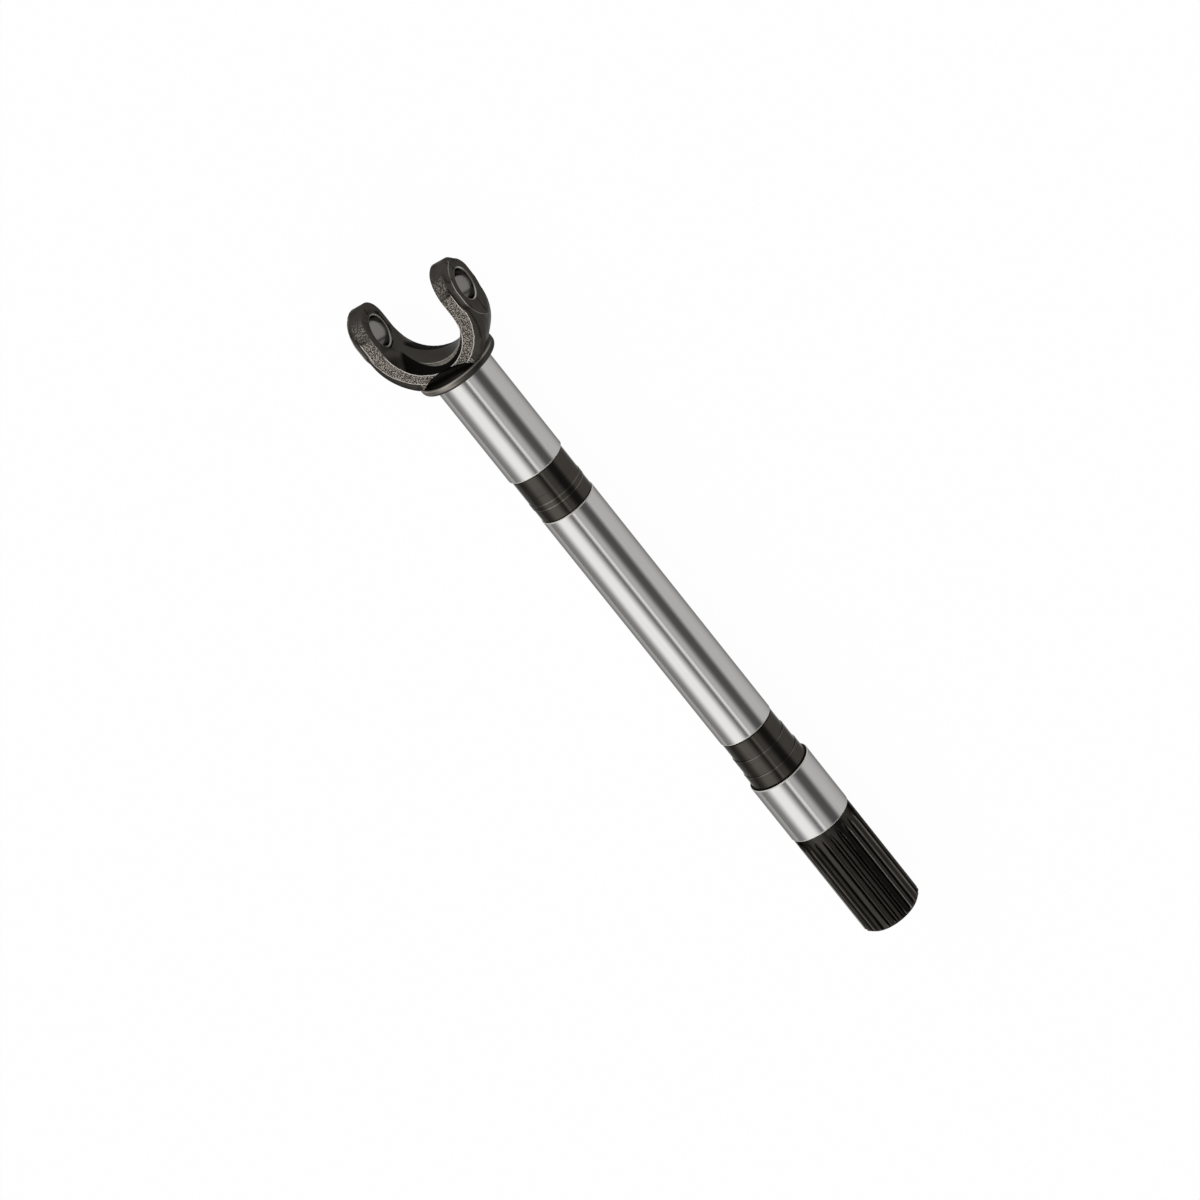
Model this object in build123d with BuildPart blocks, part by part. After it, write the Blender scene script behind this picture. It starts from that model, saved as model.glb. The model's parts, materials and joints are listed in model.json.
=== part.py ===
"""Half shaft of a driven axle, forged and turned from one bar: a bored fork for a
universal joint at one end, three ground journals with turned reliefs between them,
and an external spline at the other end.

Millimetres. The origin is the joint centre, where the shaft axis meets the cross bore.
+X runs along the shaft to the splined end, +Y along the cross bore, +Z up.
"""
import os
from math import asin, cos, hypot, pi, radians, sin, sqrt, tan

from build123d import *

# --- fork: a U of drafted strap whose legs end in the two bored ears ---
bore_d = 24.0            # bore for a bearing cup of the cross
bore_break = 0.8         # chamfer at every mouth of the bore
ear_gap = 60.0           # between the inner faces of the ears
leg_span = 88.4          # over the strap behind the bosses
boss_height = 1.1        # how far a boss stands out of its leg
fork_width = 41.0        # across the two flat sides, along Z
ear_tip = 22.5           # from the bore axis to the tip of an ear
boss_r = 19.3            # boss on an ear's outer face
boss_tail = 28.0         # from the bore axis to the pointed lower end of a boss
spot_r = 15.0            # spot face round the bore on an ear's inner face
spot_depth = 0.6
leg_end_x = 11.0         # where the straight legs end inside and the U begins to turn
saddle_x = 39.6          # bottom of the U, on the shaft axis
saddle_r = 26.0          # round bottom of the U
saddle_half = 8.5        # half the width of the saddle between its drafted sides
face_x = 42.5            # bottom of the U in the flat sides, where that draft ends
face_r = 30.5            # its radius there
turn_x = 13.0            # centre of the strap's outer turn at the bevels
ridge_x = 15.0           # the same in the middle plane, along the forging's ridge
face_turn_x = 7.8        # the same in the flat sides
edge_break = 3.0         # forged bevel along the strap's outside, across the side face
break_depth = 2.2        # how far the bevels reach along Z
pad_break = 1.0          # bevel along the inner edges of the legs
notch_len = 17.5         # flat notch beside each boss, along X
notch_x = -2.2           # its middle
notch_depth = 1.9        # from the side face inwards
notch_floor = 40.4       # from the middle of the fork to the side of the notch
notch_corner = 1.6
seam_width = 1.0         # trimmed seam of the forging round each ear, in the middle plane
seam_height = 0.35

# --- collar under the fork ---
collar_r = 31.8
collar_x = 48.0          # top face of the collar
collar_break = 1.2       # chamfer round the top face
collar_rim = 3.6         # from the top face to the end of the cylindrical rim
collar_round = 2.6       # rounded lower edge
scoop_chord = 41.0       # hollow between a flat side and the collar's top face
scoop_rise = 4.3         # how far it climbs into the strap
scoop_floor = 16.5       # from the shaft axis to the flat of the hollow
scoop_flare = 28.0       # slope of its walls, degrees

# --- turned shaft: diameters, and stations along X ---
journal_1_d = 46.5
journal_2_d = 45.0
journal_3_d = 51.0
relief_d = 44.0
journal_1_end = 145.5
journal_2 = (185.0, 409.0)
journal_3 = (452.5, 505.0)
journal_break = 0.4
ring_d = 44.7            # raised ring turned in the first relief
ring_w = 4.6
ring_gap = 11.4          # from the ring to the second journal
step_d = 45.4            # where the second relief steps up, and its place
step_x = 425.5
shoulder_d = 46.8        # last step of the second relief, before the third journal
shoulder_x = 441.0
shoulder_round = 1.6     # fillet against the third journal

# --- spline ---
teeth = 24
module = 2.0
spline_len = 97.0
spline_land = 4.5        # plain land behind the run-out of the grooves
cutter_r = 38.0          # disc cutter that leaves the run-out
flank_angle = 30.0
end_break = 2.6
centre_d = 5.0           # centre hole in the splined end
centre_mouth_d = 12.0
centre_depth = 12.0
centre_angle = 60.0

# --- worked out from the above ---
shaft_end = journal_3[1] + spline_len
spline_d = module * (teeth + 1)
pitch_d = module * teeth
root_d = module * (teeth - 1.5)
half_w = fork_width / 2
half_gap = ear_gap / 2
half_leg = leg_span / 2
half_boss = half_leg + boss_height
core_half = half_w - break_depth
ear_c = half_w - ear_tip
rim_end = collar_x + collar_rim
underside_x = rim_end + collar_round
slack = 1.0              # how far cutters run past what they cut


def flip(point):
    """The same point on the other side of the shaft axis."""
    return point[0], -point[1]


def blend(start, end, share):
    """Value this share of the way from start to end."""
    return start + (end - start) * share


def tangent_point(point, centre_x, r):
    """Where a line from the point touches the circle of radius r about (centre_x, 0), far side."""
    dx, dy = point[0] - centre_x, point[1]
    reach = hypot(dx, dy)
    along = r * r / reach ** 2
    across = r * sqrt(reach ** 2 - r ** 2) / reach ** 2
    return centre_x + dx * along + dy * across, dy * along - dx * across


def strap_outline(height):
    """Outline of the strap this far from the middle plane: the drafted saddle and the legs
    inside, the outer turn and its bevel outside, down to the collar."""
    inner = max(0, (height - saddle_half) / (half_w - saddle_half))
    outer = max(0, (height - core_half) / break_depth)
    bottom, bottom_r = blend(saddle_x, face_x, inner), blend(saddle_r, face_r, inner)
    leg_foot = (leg_end_x, half_gap + pad_break * inner)
    saddle_start = tangent_point(leg_foot, bottom - bottom_r, bottom_r)
    outer_r = half_leg - edge_break * outer
    centre = blend(blend(ridge_x, turn_x, min(1, height / core_half)), face_turn_x, outer)
    swing = asin((collar_x - centre) / outer_r)
    turn_mid = (centre + outer_r * sin(swing / 2), outer_r * cos(swing / 2))
    turn_end = (collar_x, outer_r * cos(swing))
    leg = [leg_foot, (-ear_tip, leg_foot[1]), (-ear_tip, outer_r), (centre, outer_r)]
    with BuildLine() as outline:
        Polyline(saddle_start, *leg)
        ThreePointArc(leg[-1], turn_mid, turn_end)
        Line(turn_end, flip(turn_end))
        ThreePointArc(flip(turn_end), flip(turn_mid), flip(leg[-1]))
        Polyline(*[flip(p) for p in reversed(leg)], flip(saddle_start))
        ThreePointArc(flip(saddle_start), (bottom, 0), saddle_start)
    return outline


def space_half_width(radius):
    """Half the width of a tooth space at this radius."""
    return pitch_d * pi / teeth / 4 + (radius - pitch_d / 2) * tan(radians(flank_angle))


def journal(start, end, diameter):
    """Profile points of a ground journal with a small chamfer at both ends."""
    r = diameter / 2
    return [(start, r - journal_break), (start + journal_break, r), (end - journal_break, r),
            (end, r - journal_break)]


# Strap of the fork: drafted sections from the middle plane out to a flat side, and their mirror.
with BuildPart() as strap:
    for height in (0, saddle_half, core_half, half_w):
        with BuildSketch(Plane.XY.offset(height)):
            add(strap_outline(height).line)
            make_face()
    loft(ruled=True)
    mirror(about=Plane.XY)

# Outside of the ears' round ends, with the bevels that run round them.
with BuildPart() as ear_trim:
    with Locations((ear_c, 0, 0)):
        Box(2 * ear_tip, 2 * leg_span, 2 * fork_width, align=(Align.MAX, Align.CENTER, Align.CENTER))
    with BuildSketch(Plane.XY):
        right = [(ear_c, half_leg), (ear_c + core_half, half_leg), (ear_c + half_w, half_leg - edge_break),
                 (ear_c + half_w, half_gap + pad_break), (ear_c + half_w - pad_break, half_gap)]
        Polygon(*right, *[flip(p) for p in reversed(right)], align=None)
    revolve(axis=Axis((ear_c, 0, 0), (0, 1, 0)), mode=Mode.SUBTRACT)

# Block under the strap: the collar's disc carried up between the flat sides.
with BuildPart() as block:
    with BuildSketch(Plane.YZ.offset(collar_x - scoop_rise)):
        Circle(collar_r - collar_break)
        Rectangle(2 * collar_r, fork_width, mode=Mode.INTERSECT)
    extrude(amount=scoop_rise + slack)

# Hollows between the flat sides and the collar's top face, with sloping walls.
with BuildPart() as scoop:
    for side in (1, -1):
        with BuildSketch(Plane.XY.offset(side * scoop_floor)):
            with BuildLine():
                Line((collar_x, -scoop_chord / 2), (collar_x, scoop_chord / 2))
                ThreePointArc((collar_x, scoop_chord / 2), (collar_x - scoop_rise, 0),
                              (collar_x, -scoop_chord / 2))
            make_face()
        extrude(amount=side * collar_r, taper=-scoop_flare)
    with Locations((collar_x, 0, 0)):
        Box(2 * collar_r, 4 * collar_r, 4 * collar_r, align=(Align.MIN, Align.CENTER, Align.CENTER),
            mode=Mode.SUBTRACT)

# Outline of a boss: round about the bore, drawn out to a point towards the collar.
with BuildSketch() as boss:
    Circle(boss_r)
    with BuildLine():
        tail_r = (boss_tail ** 2 + boss_r ** 2) / (2 * boss_r)
        RadiusArc((0, boss_r), (boss_tail, 0), tail_r)
        RadiusArc((boss_tail, 0), (0, -boss_r), tail_r)
        Line((0, -boss_r), (0, boss_r))
    make_face()

# One space between two teeth, its flanks at the pressure angle. A turn about the disc
# cutter's axis makes the run-out at its inner end.
groove_depth = (spline_d - root_d) / 2
run_out = sqrt(cutter_r ** 2 - (cutter_r - groove_depth) ** 2)
groove_start = journal_3[1] + spline_land + run_out
open_r = spline_d / 2 + slack
groove_section = [(-space_half_width(root_d / 2), root_d / 2), (space_half_width(root_d / 2), root_d / 2),
                  (space_half_width(open_r), open_r), (-space_half_width(open_r), open_r)]
cutter_sweep = 2 * asin(run_out / cutter_r)
with BuildPart() as groove:
    with BuildSketch(Plane.YZ.offset(groove_start)) as space:
        Polygon(*groove_section, align=None)
    extrude(amount=shaft_end + slack - groove_start)
    add(space.sketch)
    revolve(axis=Axis((groove_start, 0, root_d / 2 + cutter_r), (0, 1, 0)),
            revolution_arc=cutter_sweep * 180 / pi)

# Turned profiles: the shaft from the collar to the splined end, and a bore with its mouths.
ring_end = journal_2[0] - ring_gap
relief_r = relief_d / 2
shoulder_r = shoulder_d / 2
turned = [*journal(underside_x, journal_1_end, journal_1_d),
          (journal_1_end, relief_r), (ring_end - ring_w, relief_r), (ring_end - ring_w, ring_d / 2),
          (ring_end, ring_d / 2), (ring_end, relief_r), (journal_2[0], relief_r),
          *journal(*journal_2, journal_2_d),
          (journal_2[1], relief_r), (step_x, relief_r), (step_x, step_d / 2), (shoulder_x, step_d / 2),
          (shoulder_x, shoulder_r), (journal_3[0] - shoulder_round, shoulder_r)]
splined = [*journal(*journal_3, journal_3_d),
           (journal_3[1], spline_d / 2), (shaft_end - end_break, spline_d / 2),
           (shaft_end, spline_d / 2 - end_break), (shaft_end, 0)]
bore_r = bore_d / 2
spot_face = half_gap + spot_depth
bore_outline = [(0, half_gap - slack), (spot_r, half_gap - slack), (spot_r, spot_face),
                (bore_r + bore_break, spot_face), (bore_r, spot_face + bore_break),
                (bore_r, half_boss - bore_break), (bore_r + bore_break + slack, half_boss + slack),
                (0, half_boss + slack)]

with BuildPart() as splined_shaft:
    # fork: strap, round ear ends, bosses and the forging's seam round each ear
    add(strap.part)
    add(ear_trim.part, mode=Mode.SUBTRACT)
    for side in (1, -1):
        with BuildSketch(Plane.XZ.offset(-side * (half_gap + edge_break))):
            add(boss.sketch)
        extrude(amount=-side * (half_boss - half_gap - edge_break))
    with BuildSketch(Plane.XY):
        for side in (1, -1):
            tip, tail = -ear_tip - seam_height, boss_tail - edge_break
            seam = [(tip, half_gap + edge_break), (tip, half_leg - edge_break), (tip + edge_break, half_boss),
                    (edge_break - boss_r, half_boss + seam_height), (tail, half_boss + seam_height),
                    (tail + edge_break, half_leg), (leg_end_x, half_gap + edge_break),
                    (0, half_gap + spot_depth - seam_height), (tip + edge_break, half_gap - seam_height)]
            Polygon(*[(x, side * y) for x, y in seam], align=None)
    extrude(amount=seam_width / 2, both=True)

    # collar, journals, reliefs and the spline's blank, turned in one profile
    add(block.part)
    with BuildSketch(Plane.XY):
        with BuildLine():
            Polyline((collar_x, 0), (collar_x, collar_r - collar_break), (collar_x + collar_break, collar_r),
                     (rim_end, collar_r))
            RadiusArc((rim_end, collar_r), (underside_x, collar_r - collar_round), collar_round)
            Polyline((underside_x, collar_r - collar_round), *turned)
            RadiusArc(turned[-1], (journal_3[0], shoulder_r + shoulder_round), -shoulder_round)
            Polyline((journal_3[0], shoulder_r + shoulder_round), *splined, (collar_x, 0))
        make_face()
    revolve(axis=Axis.X)
    add(scoop.part, mode=Mode.SUBTRACT)

    # bores with their chamfers and spot faces, and the notches beside the bosses
    for side in (1, -1):
        with BuildSketch(Plane.XY):
            Polygon(*[(r, side * y) for r, y in bore_outline], align=None)
        revolve(axis=Axis.Y, mode=Mode.SUBTRACT)
        for face in (1, -1):
            with BuildSketch(Plane.XY.offset(face * (half_w - notch_depth))):
                with Locations((notch_x, side * notch_floor)):
                    RectangleRounded(notch_len, half_leg, notch_corner,
                                     align=(Align.CENTER, Align.MIN if side > 0 else Align.MAX))
            extrude(amount=face * 2 * notch_depth, mode=Mode.SUBTRACT)

    # spline and the centre hole in its end
    add([groove.part.rotate(Axis.X, 360 * i / teeth) for i in range(teeth)], mode=Mode.SUBTRACT)
    with BuildSketch(Plane.XY):
        mouth = (centre_mouth_d - centre_d) / 2 / tan(radians(centre_angle / 2))
        Polygon((shaft_end, 0), (shaft_end, centre_mouth_d / 2), (shaft_end - mouth, centre_d / 2),
                (shaft_end - centre_depth, centre_d / 2), (shaft_end - centre_depth, 0), align=None)
    revolve(axis=Axis.X, mode=Mode.SUBTRACT)

splined_shaft.part.label = "splined_shaft"
os.makedirs("parts", exist_ok=True)
export_step(splined_shaft.part, "parts/splined_shaft.step")
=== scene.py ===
"""Looks of a forged and turned half shaft: black forged fork, ground journals, turned
reliefs and a cut spline, on a pale studio floor. Metres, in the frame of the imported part:
+X along the shaft to the spline, +Y along the cross bore, +Z up."""
import json
from math import atan, cos, pi, radians, sin, sqrt, tan

import bmesh
import bpy
import numpy as np
from bpy.props import FloatProperty, FloatVectorProperty, IntProperty, PointerProperty
from mathutils import Matrix, Vector


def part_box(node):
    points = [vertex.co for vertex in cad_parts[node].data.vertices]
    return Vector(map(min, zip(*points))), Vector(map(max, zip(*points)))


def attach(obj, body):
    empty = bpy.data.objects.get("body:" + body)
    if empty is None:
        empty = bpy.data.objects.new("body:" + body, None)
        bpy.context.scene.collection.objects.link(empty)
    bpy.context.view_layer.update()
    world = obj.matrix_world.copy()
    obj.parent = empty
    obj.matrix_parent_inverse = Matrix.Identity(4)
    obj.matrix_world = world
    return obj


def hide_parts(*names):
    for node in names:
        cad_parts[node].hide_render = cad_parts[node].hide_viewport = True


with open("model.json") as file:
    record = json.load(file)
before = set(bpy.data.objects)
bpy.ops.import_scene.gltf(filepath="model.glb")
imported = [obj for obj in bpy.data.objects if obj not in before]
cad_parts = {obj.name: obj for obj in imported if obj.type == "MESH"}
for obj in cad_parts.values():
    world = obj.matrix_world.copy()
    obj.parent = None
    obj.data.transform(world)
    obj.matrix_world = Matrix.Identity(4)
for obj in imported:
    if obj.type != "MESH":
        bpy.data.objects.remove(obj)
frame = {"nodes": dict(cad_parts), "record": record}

bl_info = {
    "name": "Splined half shaft",
    "version": (1, 0, 0),
    "blender": (4, 5, 0),
    "location": "3D View > Sidebar > Shaft",
    "description": "Finishes a forged half shaft with ground journals, reliefs and a spline",
    "category": "Object",
}

NODE = "splined_shaft"
MM = 0.001
MOUNTS = {mount["name"]: mount for mount in frame["record"]["mounts"]}
BORE_R = MOUNTS["cross_bore"]["dims"]["r_mm"] * MM
LOW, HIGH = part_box(NODE)

# The fork's flat sides stand at the half width. Their outline has an inner and an outer
# turn, each about its own centre on the shaft's axis, and runs on straight along the legs.
HALF_WIDTH = 0.0205
INNER_TURN_X, INNER_TURN_R = 0.012, 0.0307
OUTER_TURN_X, OUTER_TURN_R = 0.0078, 0.0413
LEG_INNER, LEG_OUTER = 0.0308, 0.0402
LEG_TIP, TURN_START, FLAT_END = -0.0185, 0.0105, 0.0472
BOSS_SEAM = (0.0447, 0.0452)
COLLAR_FACE = (0.0488, 0.0520)

# Soft boxes along the shaft: centre, half width and soft edge in degrees about it from +Y
# over the top, and level. With the room they light an upward face at about a plain level.
KEY_BOX = (120.0, 26.0, 16.0, 1.7)
FAR_FILL = (165.0, 15.0, 10.0, 0.3)
SIDE_BOX = (56.0, 12.0, 12.0, 0.8)
EDGE_STRIP = (71.0, 4.0, 4.0, 1.5)
LOW_FILL = (0.0, 6.0, 8.0, 0.6)
SOFT_BOXES = (KEY_BOX, FAR_FILL, SIDE_BOX, EDGE_STRIP, LOW_FILL)

# Share of plain white in the floor as the camera sees it. The rest keeps the shadow.
FLOOR_WHITE = 0.975


def ground_band(name):
    """Start, end and radius of a ground journal, as the record states it."""
    mount = MOUNTS[name]
    half = mount["dims"]["length_mm"] * MM / 2
    return mount["pos_m"][0] - half, mount["pos_m"][0] + half, mount["dims"]["r_mm"] * MM


# ---------------------------------------------------------------- sizes and colours

def length(name, description, default):
    """A length in metres as an add-on property."""
    return FloatProperty(name=name, description=description, default=default, min=0.0,
                         subtype="DISTANCE", unit="LENGTH", precision=5)


def colour(name, description, default):
    """A linear colour as an add-on property."""
    return FloatVectorProperty(name=name, description=description, default=default, size=3,
                               subtype="COLOR", min=0.0, max=1.0)


class ShaftSizes(bpy.types.PropertyGroup):
    """Sizes of the turned stretches and of the spline."""
    segments: IntProperty(name="Segments", description="Faces round a turned surface", default=288, min=32)
    edge: length("Edge break", "Small chamfer at each end of a journal", 0.0004)
    relief_r: length("Relief radius", "Radius of the turned reliefs", 0.022)
    ring_r: length("Ring radius", "Raised ring in the inner relief", 0.02235)
    ring_start: length("Ring start", "Where the ring begins along the shaft", 0.169)
    ring_end: length("Ring end", "Where the ring ends along the shaft", 0.1736)
    step_r: length("Step radius", "First step of the outer relief", 0.0227)
    step_x: length("Step place", "Where the outer relief steps up", 0.4255)
    shoulder_r: length("Shoulder radius", "Last step of the outer relief", 0.0234)
    shoulder_x: length("Shoulder place", "Where the last step begins", 0.441)
    fillet: length("Fillet", "Fillet against the outer journal", 0.0016)
    score: length("Score line", "Depth of a fine turned line", 0.00012)
    teeth: IntProperty(name="Teeth", description="Teeth of the spline", default=24, min=6)
    module: length("Module", "Pitch diameter over the number of teeth", 0.002)
    land: length("Land", "Plain land before the grooves run out", 0.0045)
    cutter_r: length("Cutter radius", "Disc cutter that leaves the run-out", 0.038)
    end_break: length("End chamfer", "Chamfer at the splined end", 0.0026)
    centre_r: length("Centre mouth", "Radius of the centre hole's mouth", 0.006)
    centre_depth: length("Centre depth", "Depth of the centre hole", 0.012)


class ShaftColours(bpy.types.PropertyGroup):
    """Colours of the finishes, and of painted highlights and painted shade."""
    ground: colour("Ground steel", "Ground journals and bores", (0.43, 0.423, 0.415))
    black: colour("Blackened steel", "Turned and forged surfaces with a black oxide", (0.042, 0.038, 0.033))
    # Painted shade: a near black laid into hollows, corners and the drafted sides where shade falls.
    painted_shade: colour("Deep black", "Hollows and the drafted sides of the fork", (0.006, 0.0052, 0.0045))
    # The bore walls are ground steel. This dark colour is painted shade inside the bores.
    bore: colour("Bore", "Walls of the cross bores", (0.09, 0.085, 0.08))
    forged: colour("Forged skin", "Light grains of the rough flat sides", (0.32, 0.29, 0.255))
    forged_dark: colour("Forged pits", "Pits between the grains", (0.04, 0.034, 0.028))
    # Painted highlight: a bright line laid where an edge or chamfer catches the light.
    edge_highlight: colour("Worn edge", "Bright line where an edge is rubbed bare", (0.62, 0.58, 0.53))


class StudioSettings(bpy.types.PropertyGroup):
    """Camera and light."""
    distance: length("Distance", "From the camera to the joint centre", 4.2)
    view_width: length("View width", "Width of the view at the joint centre", 0.8454)
    pan_right: length("Pan right", "Centre of the view, to the right of the joint centre", 0.1308)
    pan_down: length("Pan down", "Centre of the view, below the joint centre", 0.2035)
    tilt: FloatProperty(name="Tilt", description="How far the splined end leans away from the viewer",
                        default=radians(22.5), subtype="ANGLE")
    turn: FloatProperty(name="Turn", description="Turn of the fork about the shaft's axis",
                        default=radians(27.5), subtype="ANGLE")
    slope: FloatProperty(name="Slope", description="How steeply the shaft runs down the view",
                         default=radians(51.24), subtype="ANGLE")
    floor_size: length("Floor", "Side of the square floor", 12.0)
    room_level: FloatProperty(name="Room", description="Light from the room between the soft boxes",
                              default=0.15, min=0.0)


# ---------------------------------------------------------------- shader expressions

class Node_Tree:
    """Adds nodes to one material or world."""

    def __init__(self, tree):
        self.tree = tree
        tree.nodes.clear()

    def node(self, kind, settings=None, inputs=None, output=0):
        """A node of this type, its settings first, then its socket values or links."""
        made = self.tree.nodes.new(kind)
        for key, value in (settings or {}).items():
            setattr(made, key, value)
        for key, value in (inputs or {}).items():
            self.feed(made.inputs[key], value)
        return Value(self, made.outputs[output]) if len(made.outputs) else None

    def feed(self, socket, value):
        """Link an expression to a socket, or set a plain number or colour on it."""
        if isinstance(value, Value):
            self.tree.links.new(value.socket, socket)
        elif socket.type == "RGBA":
            socket.default_value = (*value, 1.0)
        else:
            socket.default_value = value

    def math(self, operation, *values):
        """A Math node on up to three values."""
        return self.node("ShaderNodeMath", {"operation": operation}, dict(enumerate(values)))

    def mix(self, share, low, high):
        """Colour this share of the way from low to high."""
        return self.node("ShaderNodeMix", {"data_type": "RGBA"}, {0: share, 6: low, 7: high}, output=2)

    def vector(self, operation, one, other):
        """A Vector Math node on two vectors."""
        return self.node("ShaderNodeVectorMath", {"operation": operation}, {0: one, 1: other})


class Value:
    """A socket that carries a number, with arithmetic that adds Math nodes."""

    def __init__(self, owner, socket):
        self.owner, self.socket = owner, socket

    def __add__(self, other):
        return self.owner.math("ADD", self, other)

    def __sub__(self, other):
        return self.owner.math("SUBTRACT", self, other)

    def __rsub__(self, other):
        return self.owner.math("SUBTRACT", other, self)

    def __mul__(self, other):
        return self.owner.math("MULTIPLY", self, other)

    def __truediv__(self, other):
        return self.owner.math("DIVIDE", self, other)

    def __pow__(self, other):
        return self.owner.math("POWER", self, other)

    def __abs__(self):
        return self.owner.math("ABSOLUTE", self)

    __radd__, __rmul__ = __add__, __mul__

    def above(self, edge, soft):
        """1 where the value is over the edge and 0 under it, with a soft step between."""
        return self.owner.node("ShaderNodeMapRange", {"interpolation_type": "SMOOTHSTEP"},
                               {0: self, 1: edge - soft, 2: edge + soft, 3: 0.0, 4: 1.0})

    def below(self, edge, soft):
        """1 where the value is under the edge."""
        return 1.0 - self.above(edge, soft)

    def within(self, low, high, soft):
        """1 between two edges."""
        return self.above(low, soft) * self.below(high, soft)

    def near(self, place, half, soft):
        """1 within this half width of a place."""
        return abs(self - place).below(half, soft)


def new_material(name):
    """An empty material and its node tree."""
    material = bpy.data.materials.new(name)
    material.use_nodes = True
    return material, Node_Tree(material.node_tree)


def finish_material(nodes, base, roughness, metallic, height=None, depth=0.0, scale=1.0, gloss=0.5, rim=1.0):
    """Close a material with one Principled shader and a bump of this depth in metres. The
    rim tints what a metal reflects at a grazing angle."""
    inputs = {"Base Color": base, "Roughness": roughness, "Metallic": metallic, "Specular IOR Level": gloss,
              "Specular Tint": (rim, rim, rim)}
    if height is not None:
        inputs["Normal"] = nodes.node("ShaderNodeBump", None,
                                      {"Strength": scale, "Distance": depth, "Height": height})
    shader = nodes.node("ShaderNodeBsdfPrincipled", None, inputs)
    nodes.node("ShaderNodeOutputMaterial", None, {"Surface": shader})


def place(nodes):
    """Object coordinates and their three parts."""
    spot = nodes.node("ShaderNodeTexCoord", output=3)
    split = nodes.node("ShaderNodeSeparateXYZ", None, {0: spot}).socket.node
    x, y, z = (Value(nodes, split.outputs[i]) for i in range(3))
    return spot, x, y, z


def noise(nodes, spot, scale, detail=2.0, stretch=None):
    """Noise of this many cells a metre, stretched along the axes where asked."""
    if stretch:
        spot = nodes.vector("MULTIPLY", spot, stretch)
    return nodes.node("ShaderNodeTexNoise", None,
                      {"Vector": spot, "Scale": scale, "Detail": detail, "Roughness": 0.6})


# ---------------------------------------------------------------- finishes

def shade(tint, factor):
    """A colour made lighter or darker by this factor."""
    return tuple(part * factor for part in tint)


def lines_at(x, stations, half, soft):
    """1 on a narrow ring about each of these stations along the shaft."""
    rings = [x.near(station, half, soft) for station in stations]
    return sum(rings[1:], rings[0])


def ground_steel(colours, ends):
    """Ground steel: fine rings of grinding marks, faint long streaks, and a matt chamfer at
    both ends of each journal, lightened there by a painted highlight."""
    material, nodes = new_material("ground_steel")
    spot, x, *_ = place(nodes)
    rings = noise(nodes, spot, 1.0, 4.0, (2600.0, 60.0, 60.0))
    cloud = noise(nodes, spot, 1.0, 2.0, (9.0, 160.0, 160.0))
    base = nodes.mix(cloud, shade(colours.ground, 0.93), shade(colours.ground, 1.05))
    chamfer = lines_at(x, ends, 0.0005, 0.0002)
    # Painted highlight on each chamfer. The added roughness is the matt chamfer itself.
    base = nodes.mix(chamfer * 0.8, base, colours.edge_highlight)
    finish_material(nodes, base, 0.14 + rings * 0.06 + chamfer * 0.4, 1.0, rim=0.35)
    return material


def blackened_turned(colours, bright, dark):
    """Turned steel under a black oxide: rings left by the tool and a satin shine, with
    painted highlights on the edges at some stations and painted shade in the corners at others."""
    material, nodes = new_material("blackened_turned")
    spot, x, *_ = place(nodes)
    rings = noise(nodes, spot, 1.0, 3.0, (1500.0, 12.0, 12.0))
    cloud = noise(nodes, spot, 60.0, 3.0)
    base = nodes.mix(rings * 0.5 + cloud * 0.5, shade(colours.black, 0.7),
                     shade(colours.black, 1.4))
    # Painted highlights on the edges at the bright stations.
    base = nodes.mix(lines_at(x, bright, 0.00025, 0.0002) * (0.08 + cloud * 0.3), base, colours.edge_highlight)
    # Painted shade in the corners at the dark stations.
    corner = lines_at(x, dark, 0.0009, 0.0003)
    base = nodes.mix(corner, base, colours.painted_shade)
    finish_material(nodes, base, 0.12 + cloud * 0.08 + corner * 0.5, 1.0, rings, 0.00001, 0.3, rim=0.55)
    return material


def blackened_spline(colours, sizes):
    """Cut spline under a black oxide, with a painted highlight along the tops of its teeth."""
    material, nodes = new_material("blackened_spline")
    spot, x, y, z = place(nodes)
    radius = (y * y + z * z) ** 0.5
    outer = sizes.module * (sizes.teeth + 1) / 2
    cloud = noise(nodes, spot, 1.0, 3.0, (60.0, 500.0, 500.0))
    run_out = HIGH[0] - 0.0865
    # Painted highlight along the tooth tops.
    ridge = radius.within(outer - 0.0007, outer - 0.0001, 0.0001) * x.above(run_out, 0.002)
    base = nodes.mix(cloud, shade(colours.black, 0.3), shade(colours.black, 1.1))
    base = nodes.mix(ridge * cloud * 0.3, base, colours.edge_highlight)
    finish_material(nodes, base, 0.18 + cloud * 0.16, 1.0, cloud, 0.00003, 0.4, rim=0.35)
    return material


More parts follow.
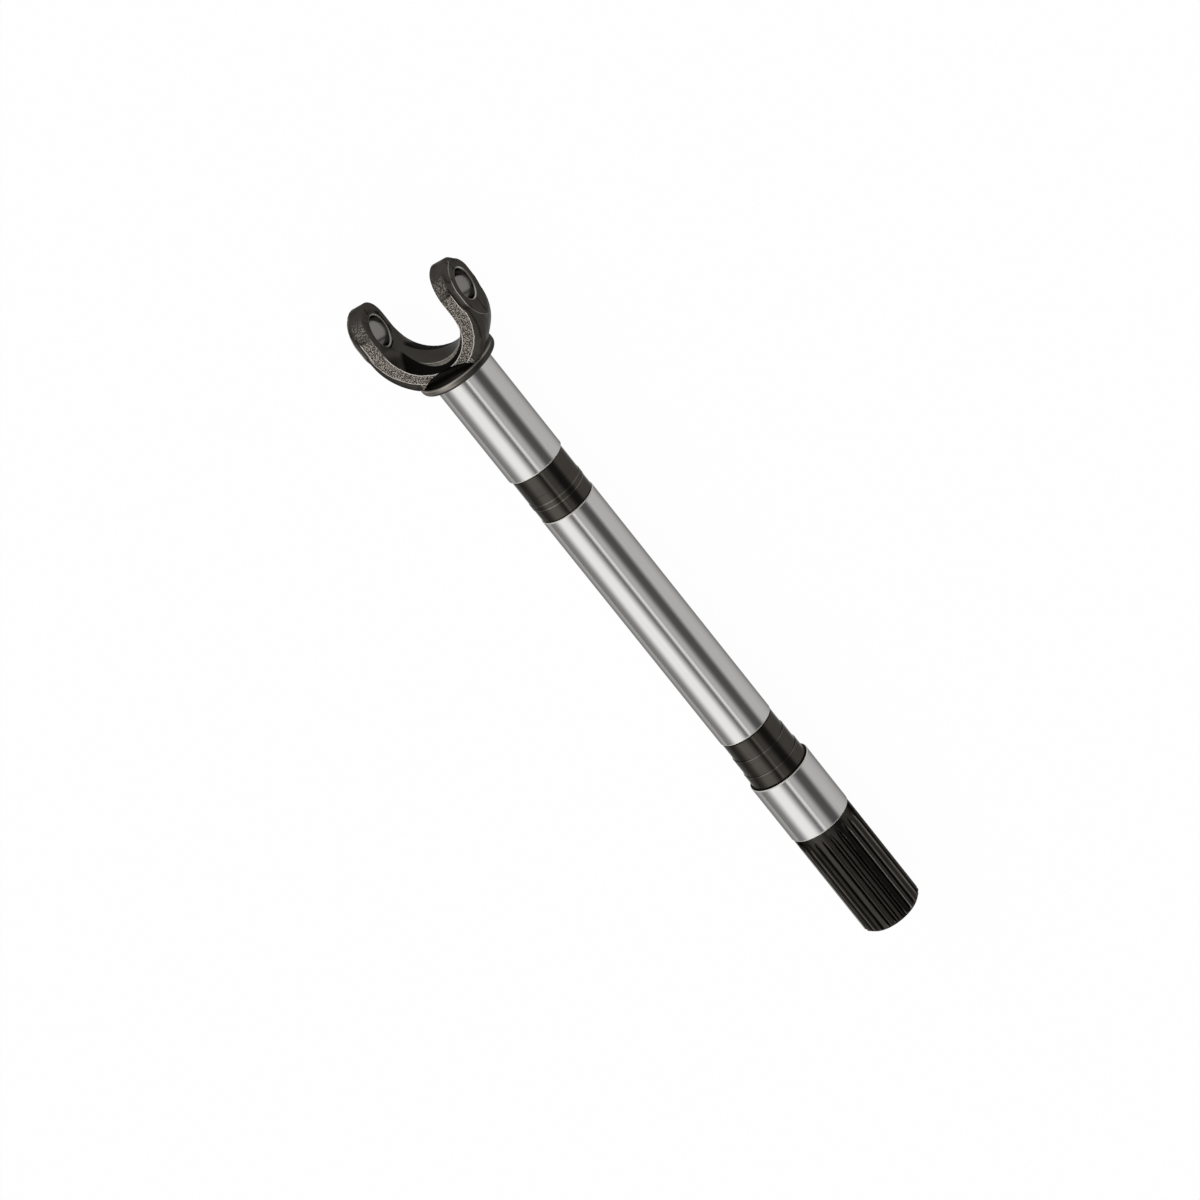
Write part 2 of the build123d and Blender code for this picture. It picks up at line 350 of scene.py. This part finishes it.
def forged_fork(colours):
    """Black forging: rough light skin on the flat sides, painted highlights along the edges, a rough
    crescent in the saddle, a painted light strip on the collar's upper side, painted shade in the hollow and
    on the drafted sides, and ground bores darkened by painted shade."""
    material, nodes = new_material("forged_fork")
    spot, x, y, z = place(nodes)
    high, wide = abs(z), abs(y)
    fine = noise(nodes, spot, 60.0, 4.0)
    grain = nodes.node("ShaderNodeTexVoronoi", {"feature": "SMOOTH_F1"},
                       {"Vector": spot, "Scale": 800.0, "Smoothness": 0.2, "Randomness": 0.75})
    speck = grain.above(0.40, 0.16)
    skin = nodes.mix(speck, colours.forged, colours.forged_dark)
    plain = nodes.mix(fine, shade(colours.black, 0.6), shade(colours.black, 1.7))

    # arcs of the flat side's outline, about their own centres on the shaft's axis
    inner_r = ((x - INNER_TURN_X) ** 2.0 + y * y) ** 0.5
    outer_r = ((x - OUTER_TURN_X) ** 2.0 + y * y) ** 0.5
    bend = x.above(TURN_START, 0.0015)
    bore_r = (x * x + z * z) ** 0.5
    crown = bore_r.above(0.0180, 0.0004) * z.above(0.006, 0.003) * x.within(-0.0160, -0.008, 0.006) * 0.75
    flat = high.above(HALF_WIDTH - 0.00012, 0.00008) * x.within(LEG_TIP, FLAT_END, 0.0003)
    flat = flat * wide.below(0.0424, 0.0002)
    flat = nodes.math("MAXIMUM", flat, crown * wide.within(LEG_INNER, LEG_OUTER, 0.0002))
    wobble = (noise(nodes, spot, 220.0) - 0.5) * 0.0012
    rim_inner = bend * (inner_r + wobble).near(INNER_TURN_R, 0.00022, 0.00018)
    rim_outer = bend * (outer_r + wobble).near(OUTER_TURN_R, 0.0002, 0.00018)
    legs = (1.0 - bend) * x.above(LEG_TIP, 0.003)
    leg_inner = legs * (wide + wobble * 0.4).near(LEG_INNER, 0.00022, 0.00018)
    leg_outer = legs * (wide + wobble * 0.4).near(LEG_OUTER, 0.0002, 0.00018)
    # Painted highlights along the edges of the flat sides, where their rounded edges catch the light.
    edge_highlight = high.above(HALF_WIDTH - 0.0004, 0.0002) * x.below(0.0465, 0.001) * (
        rim_inner + rim_outer + leg_inner + leg_outer)

    # crescent between the saddle and its drafted side, widest on the shaft's axis, with a painted highlight
    # on its crest and painted shade on the drafted side
    saddle = wide.below(0.0255, 0.001) * inner_r.below(0.0306, 0.0004) * x.above(0.018, 0.002)
    reach = 0.0085 + 0.0052 * (1.0 - (abs(y - 0.004) / 0.0225) ** 2.0)
    crescent = saddle * z.above(0.0085, 0.00015) * (reach - z).above(0.0, 0.0003) * y.above(-0.012, 0.006)
    # Painted highlight along the crest.
    crest = saddle * z.near(0.0088, 0.0002, 0.0002) * y.within(-0.016, 0.022, 0.004)
    # Painted shade on the drafted side of the saddle.
    draft = saddle * (high - reach).above(0.0, 0.0004) * high.below(HALF_WIDTH - 0.0003, 0.0001)

    radius = (y * y + z * z) ** 0.5
    # Painted shade in the hollow between the flat sides and the collar.
    hollow = x.within(0.0436, 0.0481, 0.0002) * high.above(0.0163, 0.0003) * wide.below(0.0212, 0.0008)
    hollow = hollow * (1.0 - flat)
    streak = noise(nodes, spot, 1.0, 3.0, (1400.0, 90.0, 90.0))
    # A painted light strip on the collar's upper side, in the forged skin's colour with streaks.
    collar = x.within(*COLLAR_FACE, 0.0003) * radius.above(0.0312, 0.0003) * z.above(0.018, 0.006)
    collar = collar * y.within(-0.028, 0.008, 0.008) * streak
    # A painted highlight along the collar's upper edge.
    collar_edge = x.within(0.0484, 0.0493, 0.0002) * radius.above(0.0306, 0.0002) * z.above(0.0, 0.01)

    bore = bore_r.below(BORE_R + 0.00006, 0.00003) * wide.above(0.029, 0.0005)
    # A painted highlight round the mouth of each bore.
    mouth = bore_r.below(BORE_R + 0.0010, 0.0001) * wide.above(0.029, 0.0005)
    boss = wide.above(0.04505, 0.0001)
    # A painted highlight along the boss's outline.
    outline = wide.within(*BOSS_SEAM, 0.0001)

    base = nodes.mix(draft, plain, colours.painted_shade)
    base = nodes.mix(hollow * 0.6, base, colours.painted_shade)
    base = nodes.mix(collar * 0.9, base, colours.forged)
    base = nodes.mix(crescent, base, nodes.mix(0.35, skin, colours.forged))
    base = nodes.mix(flat, base, skin)
    base = nodes.mix(outline * 0.35, base, colours.edge_highlight)
    base = nodes.mix(collar_edge * 0.3 + crest * 0.8, base, colours.edge_highlight)
    base = nodes.mix(nodes.math("MINIMUM", edge_highlight * (0.6 + fine * 0.9), 1.0), base, colours.edge_highlight)
    base = nodes.mix(mouth * 0.35, base, colours.edge_highlight)
    # The bore walls take a dark colour: ground steel with painted shade inside the bores.
    base = nodes.mix(bore, base, colours.bore)

    rough = nodes.math("MAXIMUM", flat, crescent)
    roughness = 0.28 + fine * 0.14 + rough * 0.3 - bore * 0.2 - boss * 0.04 + draft * 0.2
    metallic = nodes.math("MAXIMUM", 0.85 - rough * 0.85, bore)
    height = speck * rough * -0.6 + fine * 0.35
    finish_material(nodes, base, nodes.math("MAXIMUM", roughness, 0.12), metallic, height,
                    depth=0.00012, scale=0.55, gloss=0.2, rim=0.4)
    return material


# ---------------------------------------------------------------- surfaces

def surface_piece(name, points, faces, material):
    """A mesh object from numpy arrays of points and four-sided faces, smooth but for
    its sharp edges, riding on the shaft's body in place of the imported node."""
    mesh = bpy.data.meshes.new(name)
    mesh.vertices.add(len(points))
    mesh.vertices.foreach_set("co", points.astype(np.float32).ravel())
    mesh.loops.add(faces.size)
    mesh.loops.foreach_set("vertex_index", faces.astype(np.int32).ravel())
    mesh.polygons.add(len(faces))
    mesh.polygons.foreach_set("loop_start", np.arange(0, faces.size, faces.shape[1], dtype=np.int32))
    mesh.update(calc_edges=True)
    mesh.validate()
    tidy_mesh(mesh)
    return show_piece(name, mesh, material)


def tidy_mesh(mesh, sharp=radians(28)):
    """Merge doubles, face everything outwards and keep edges over this angle sharp."""
    work = bmesh.new()
    work.from_mesh(mesh)
    bmesh.ops.remove_doubles(work, verts=work.verts, dist=1e-7)
    bmesh.ops.recalc_face_normals(work, faces=work.faces)
    work.to_mesh(mesh)
    work.free()
    mesh.shade_smooth()
    mesh.set_sharp_from_angle(angle=sharp)


def show_piece(name, mesh, material):
    """Put a finished mesh in the scene and tie it to the frame."""
    piece = bpy.data.objects.new(name, mesh)
    bpy.context.scene.collection.objects.link(piece)
    mesh.materials.append(material)
    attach(piece, "root")
    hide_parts(NODE)
    return piece


def grid_faces(rows, columns):
    """Faces of a grid of rows by columns whose last column joins the first."""
    row = np.arange(rows - 1)[:, None] * columns
    here = np.arange(columns)[None, :]
    beside = (here + 1) % columns
    return np.stack([row + here, row + columns + here, row + columns + beside, row + beside],
                    axis=-1).reshape(-1, 4)


def lathe(stations, radii, segments):
    """Points (x, r cos a, r sin a) for each station x with its radius r, and each angle a
    of a full turn. Both ends close on the axis where their radius is zero."""
    angle = np.linspace(0.0, 2 * pi, segments, endpoint=False)
    x = np.repeat(np.asarray(stations)[:, None], segments, axis=1)
    r = np.asarray(radii)[:, None]
    points = np.stack([x, r * np.cos(angle), r * np.sin(angle)], axis=-1)
    return points.reshape(-1, 3), grid_faces(len(stations), segments)


def ground_journal(name, sizes, material):
    """A ground band: a lathe profile with a small chamfer at both ends, closed."""
    start, end, radius = ground_band(name)
    edge = sizes.edge
    stations = [start - edge, start - edge, start, end, end + edge, end + edge]
    radii = [0.0, radius - edge, radius, radius, radius - edge, 0.0]
    return surface_piece(name, *lathe(stations, radii, sizes.segments), material)


def turned_relief(name, profile, sizes, material):
    """A turned stretch from a list of (station, radius), closed at both ends."""
    stations = [profile[0][0], *[p[0] for p in profile], profile[-1][0]]
    radii = [0.0, *[p[1] for p in profile], 0.0]
    return surface_piece(name, *lathe(stations, radii, sizes.segments), material)


def score_line(x, radius, depth):
    """Profile points of a fine V turned into a stretch of this radius."""
    return [(x - depth, radius), (x, radius - depth), (x + depth, radius)]


def spline_surface(sizes, start, end):
    """The splined end. At a station and an angle, the radius is the larger of the groove's
    floor and its flank, both raised by the cutter's run-out, and at most the blank's own
    radius, which the end chamfer reduces. The flank leans by 30 degrees from the radius."""
    pitch_r = sizes.module * sizes.teeth / 2
    outer = pitch_r + sizes.module / 2
    root = pitch_r - 0.75 * sizes.module
    depth = outer - root
    run_out = sqrt(sizes.cutter_r ** 2 - (sizes.cutter_r - depth) ** 2)
    full = start + sizes.land + run_out
    chamfer = end - sizes.end_break
    x = np.concatenate([[start, start + sizes.land * 0.5], np.linspace(full - run_out, full, 26),
                        np.linspace(full, chamfer, 12)[1:], np.linspace(chamfer, end, 7)[1:]])
    per_tooth = 44
    phase = (np.arange(sizes.teeth * per_tooth) / per_tooth) % 1.0 - 0.5
    across = np.abs(np.sin(phase * 2 * pi / sizes.teeth)) * pitch_r
    half_space = pi * sizes.module / 4
    flank = pitch_r + (across - half_space) / tan(radians(30))
    back = np.clip(full - x, 0.0, run_out)
    lift = sizes.cutter_r - np.sqrt(sizes.cutter_r ** 2 - back ** 2)
    blank = outer - np.clip(x - chamfer, 0.0, None)
    radius = np.minimum(blank[:, None], np.maximum(root, flank)[None, :] + lift[:, None])
    angle = np.arange(len(phase)) * 2 * pi / len(phase) + pi / 2
    # the end face runs in to the centre hole, and the inner end closes on the axis
    mouth, drill = sizes.centre_r, sizes.centre_r * 5 / 12
    cone = (mouth - drill) / tan(radians(30))
    tail_x = np.array([end, end - cone, end - sizes.centre_depth, end - sizes.centre_depth])
    tail_r = np.array([mouth, drill, drill, 0.0])
    x = np.concatenate([[start], x, tail_x])
    columns = len(phase)
    tail = np.repeat(tail_r[:, None], columns, axis=1)
    radius = np.concatenate([np.zeros((1, columns)), radius, tail])
    along = np.repeat(x[:, None], columns, axis=1)
    points = np.stack([along, radius * np.cos(angle), radius * np.sin(angle)], axis=-1)
    return points.reshape(-1, 3), grid_faces(len(x), columns)


def fork_mesh(cut_x):
    """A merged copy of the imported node's mesh, cut square to the shaft and capped."""
    work = bmesh.new()
    work.from_mesh(frame["nodes"][NODE].data)
    bmesh.ops.remove_doubles(work, verts=work.verts, dist=2e-6)
    geometry = [*work.verts, *work.edges, *work.faces]
    cut = bmesh.ops.bisect_plane(work, geom=geometry, plane_co=(cut_x, 0, 0),
                                 plane_no=(1, 0, 0), clear_outer=True)
    rim = [e for e in cut["geom_cut"] if isinstance(e, bmesh.types.BMEdge)]
    bmesh.ops.contextual_create(work, geom=rim)
    bmesh.ops.triangulate(work, faces=work.faces)
    mesh = bpy.data.meshes.new("fork")
    work.to_mesh(mesh)
    work.free()
    tidy_mesh(mesh, radians(24))
    return mesh


# ---------------------------------------------------------------- operators

class SHAFT_OT_fork(bpy.types.Operator):
    """Forged fork and collar"""
    bl_idname = "shaft.fork"
    bl_label = "Forged fork"

    def execute(self, context):
        start = ground_band("inner_journal")[0] - context.scene.shaft_sizes.edge
        show_piece("fork", fork_mesh(start - 0.00005), forged_fork(context.scene.shaft_colours))
        return {"FINISHED"}


class SHAFT_OT_journals(bpy.types.Operator):
    """Three ground journals"""
    bl_idname = "shaft.journals"
    bl_label = "Ground journals"

    def execute(self, context):
        names = ("inner_journal", "middle_journal", "outer_journal")
        # Painted highlights on the journals' chamfers, on all but the inner journal's start.
        ends = [end for name in names for end in ground_band(name)[:2]][1:]
        material = ground_steel(context.scene.shaft_colours, ends)
        for name in names:
            ground_journal(name, context.scene.shaft_sizes, material)
        return {"FINISHED"}


class SHAFT_OT_reliefs(bpy.types.Operator):
    """Two turned reliefs between the journals"""
    bl_idname = "shaft.reliefs"
    bl_label = "Turned reliefs"

    def execute(self, context):
        sizes = context.scene.shaft_sizes
        edge, depth, r = sizes.edge, sizes.score, sizes.relief_r
        first, second = ground_band("inner_journal")[1] + edge, ground_band("middle_journal")[0] - edge
        third, fourth = ground_band("middle_journal")[1] + edge, ground_band("outer_journal")[0] - edge
        # Painted highlights at the ring and the steps, and painted shade in the corners at the journals'
        # ends.
        bright = (sizes.ring_start, sizes.ring_end, sizes.step_x, sizes.shoulder_x)
        material = blackened_turned(context.scene.shaft_colours, bright, (first, second, third, fourth))
        inner = [(first, r), *score_line(first + 0.0165, r, depth), (sizes.ring_start, r),
                 (sizes.ring_start, sizes.ring_r), (sizes.ring_end, sizes.ring_r),
                 (sizes.ring_end, r), (second, r)]
        turned_relief("inner_relief", inner, sizes, material)
        turn = np.linspace(0.0, pi / 2, 7)
        fillet = [(fourth - sizes.fillet + sizes.fillet * sin(a),
                   sizes.shoulder_r + sizes.fillet * (1 - cos(a))) for a in turn]
        outer = [(third, r), (sizes.step_x, r), (sizes.step_x, sizes.step_r),
                 *score_line(sizes.step_x + 0.0035, sizes.step_r, depth), (sizes.shoulder_x, sizes.step_r),
                 (sizes.shoulder_x, sizes.shoulder_r), *fillet]
        turned_relief("outer_relief", outer, sizes, material)
        return {"FINISHED"}


class SHAFT_OT_spline(bpy.types.Operator):
    """Splined end with the run-outs of its grooves"""
    bl_idname = "shaft.spline"
    bl_label = "Spline"

    def execute(self, context):
        sizes = context.scene.shaft_sizes
        start = ground_band("outer_journal")[1] + sizes.edge
        points, faces = spline_surface(sizes, start, HIGH[0])
        surface_piece("spline", points, faces, blackened_spline(context.scene.shaft_colours, sizes))
        return {"FINISHED"}


class SHAFT_OT_stage(bpy.types.Operator):
    """White floor, soft boxes along the shaft and the camera"""
    bl_idname = "shaft.stage"
    bl_label = "Studio"

    def execute(self, context):
        studio = context.scene.shaft_studio
        add_floor(studio)
        add_sky(context.scene, studio)
        add_camera(context.scene, studio)
        return {"FINISHED"}


def add_floor(studio):
    """A square floor under the part, plain white to the camera and to reflections."""
    half = studio.floor_size / 2
    corners = np.array([(-half, -half), (half, -half), (half, half), (-half, half)])
    points = np.column_stack([corners, np.full(4, LOW[2])])
    mesh = bpy.data.meshes.new("floor")
    mesh.from_pydata(points.tolist(), [], [(0, 1, 2, 3)])
    floor = bpy.data.objects.new("floor", mesh)
    bpy.context.scene.collection.objects.link(floor)
    material, nodes = new_material("floor_white")
    path = nodes.node("ShaderNodeLightPath").socket.node
    seen = Value(nodes, path.outputs["Is Camera Ray"])
    mirrored = Value(nodes, path.outputs["Is Glossy Ray"])
    through = Value(nodes, path.outputs["Is Transmission Ray"])
    matte = nodes.node("ShaderNodeBsdfDiffuse", None, {"Color": (0.8, 0.8, 0.8)})
    white = nodes.node("ShaderNodeEmission", None, {"Color": (1.0, 1.0, 1.0), "Strength": 1.0})
    share = nodes.math("MINIMUM", seen * FLOOR_WHITE + mirrored + through, 1.0)
    mixed = nodes.node("ShaderNodeMixShader", None, {0: share, 1: matte, 2: white})
    nodes.node("ShaderNodeOutputMaterial", None, {"Surface": mixed})
    mesh.materials.append(material)


def add_sky(scene, studio):
    """Soft boxes that run along the shaft, as light that depends on the angle round its
    axis alone. The camera sees plain white."""
    scene.world = bpy.data.worlds.new("studio")
    scene.world.use_nodes = True
    nodes = Node_Tree(scene.world.node_tree)
    spot = nodes.node("ShaderNodeTexCoord")
    split = nodes.node("ShaderNodeSeparateXYZ", None, {0: spot}).socket.node
    y, z = Value(nodes, split.outputs[1]), Value(nodes, split.outputs[2])
    angle = nodes.math("ARCTAN2", z, y) * (180 / pi)
    level = studio.room_level
    for centre, half, soft_edge, strength in SOFT_BOXES:
        level = level + angle.near(centre, half, soft_edge) * strength
    path = nodes.node("ShaderNodeLightPath").socket.node
    seen = Value(nodes, path.outputs["Is Camera Ray"])
    soft = nodes.node("ShaderNodeBackground", None, {"Color": (1.0, 1.0, 1.0), "Strength": level})
    plain = nodes.node("ShaderNodeBackground", None, {"Color": (1.0, 1.0, 1.0), "Strength": 1.0})
    mixed = nodes.node("ShaderNodeMixShader", None, {0: seen, 1: soft, 2: plain})
    nodes.node("ShaderNodeOutputWorld", None, {"Surface": mixed})


def add_camera(scene, studio):
    """Camera from three angles of the shaft in the view: the slope at which it runs down
    the picture, the tilt of its splined end away from the viewer, and the fork's turn."""
    slope, tilt, turn = studio.slope, studio.tilt, studio.turn
    along = Vector((cos(slope), -sin(slope), 0.0))
    shaft = cos(tilt) * along - sin(tilt) * Vector((0, 0, 1))
    beside = Vector((sin(slope), cos(slope), 0.0))
    facing = shaft.cross(beside)
    bore = cos(turn) * beside + sin(turn) * facing
    up = cos(turn) * facing - sin(turn) * beside
    turned = Matrix((shaft, bore, up))
    seat = turned @ Vector((studio.pan_right, -studio.pan_down, studio.distance))
    camera = bpy.data.cameras.new("camera")
    camera.sensor_width = 36.0
    camera.angle = 2 * atan(studio.view_width / 2 / studio.distance)
    camera.clip_end = 100.0
    holder = bpy.data.objects.new("camera", camera)
    holder.matrix_world = Matrix.Translation(seat) @ turned.to_4x4()
    scene.collection.objects.link(holder)
    scene.camera = holder
    scene.view_settings.view_transform = "Standard"


class SHAFT_PT_panel(bpy.types.Panel):
    """Lists the pieces in the sidebar"""
    bl_idname = "SHAFT_PT_panel"
    bl_label = "Splined half shaft"
    bl_space_type = "VIEW_3D"
    bl_region_type = "UI"
    bl_category = "Shaft"

    def draw(self, context):
        for operator in OPERATORS:
            self.layout.operator(operator.bl_idname)


OPERATORS = (SHAFT_OT_fork, SHAFT_OT_journals, SHAFT_OT_reliefs, SHAFT_OT_spline, SHAFT_OT_stage)
CLASSES = (ShaftSizes, ShaftColours, StudioSettings, *OPERATORS, SHAFT_PT_panel)


def register():
    """Add the classes and their settings."""
    for item in CLASSES:
        bpy.utils.register_class(item)
    bpy.types.Scene.shaft_sizes = PointerProperty(type=ShaftSizes)
    bpy.types.Scene.shaft_colours = PointerProperty(type=ShaftColours)
    bpy.types.Scene.shaft_studio = PointerProperty(type=StudioSettings)


def unregister():
    """Remove them again."""
    del bpy.types.Scene.shaft_studio, bpy.types.Scene.shaft_colours, bpy.types.Scene.shaft_sizes
    for item in reversed(CLASSES):
        bpy.utils.unregister_class(item)


def main():
    """Build the pieces and the studio."""
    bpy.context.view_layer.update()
    register()
    bpy.ops.shaft.fork()
    bpy.ops.shaft.journals()
    bpy.ops.shaft.reliefs()
    bpy.ops.shaft.spline()
    bpy.ops.shaft.stage()


if __name__ == "__main__":
    main()
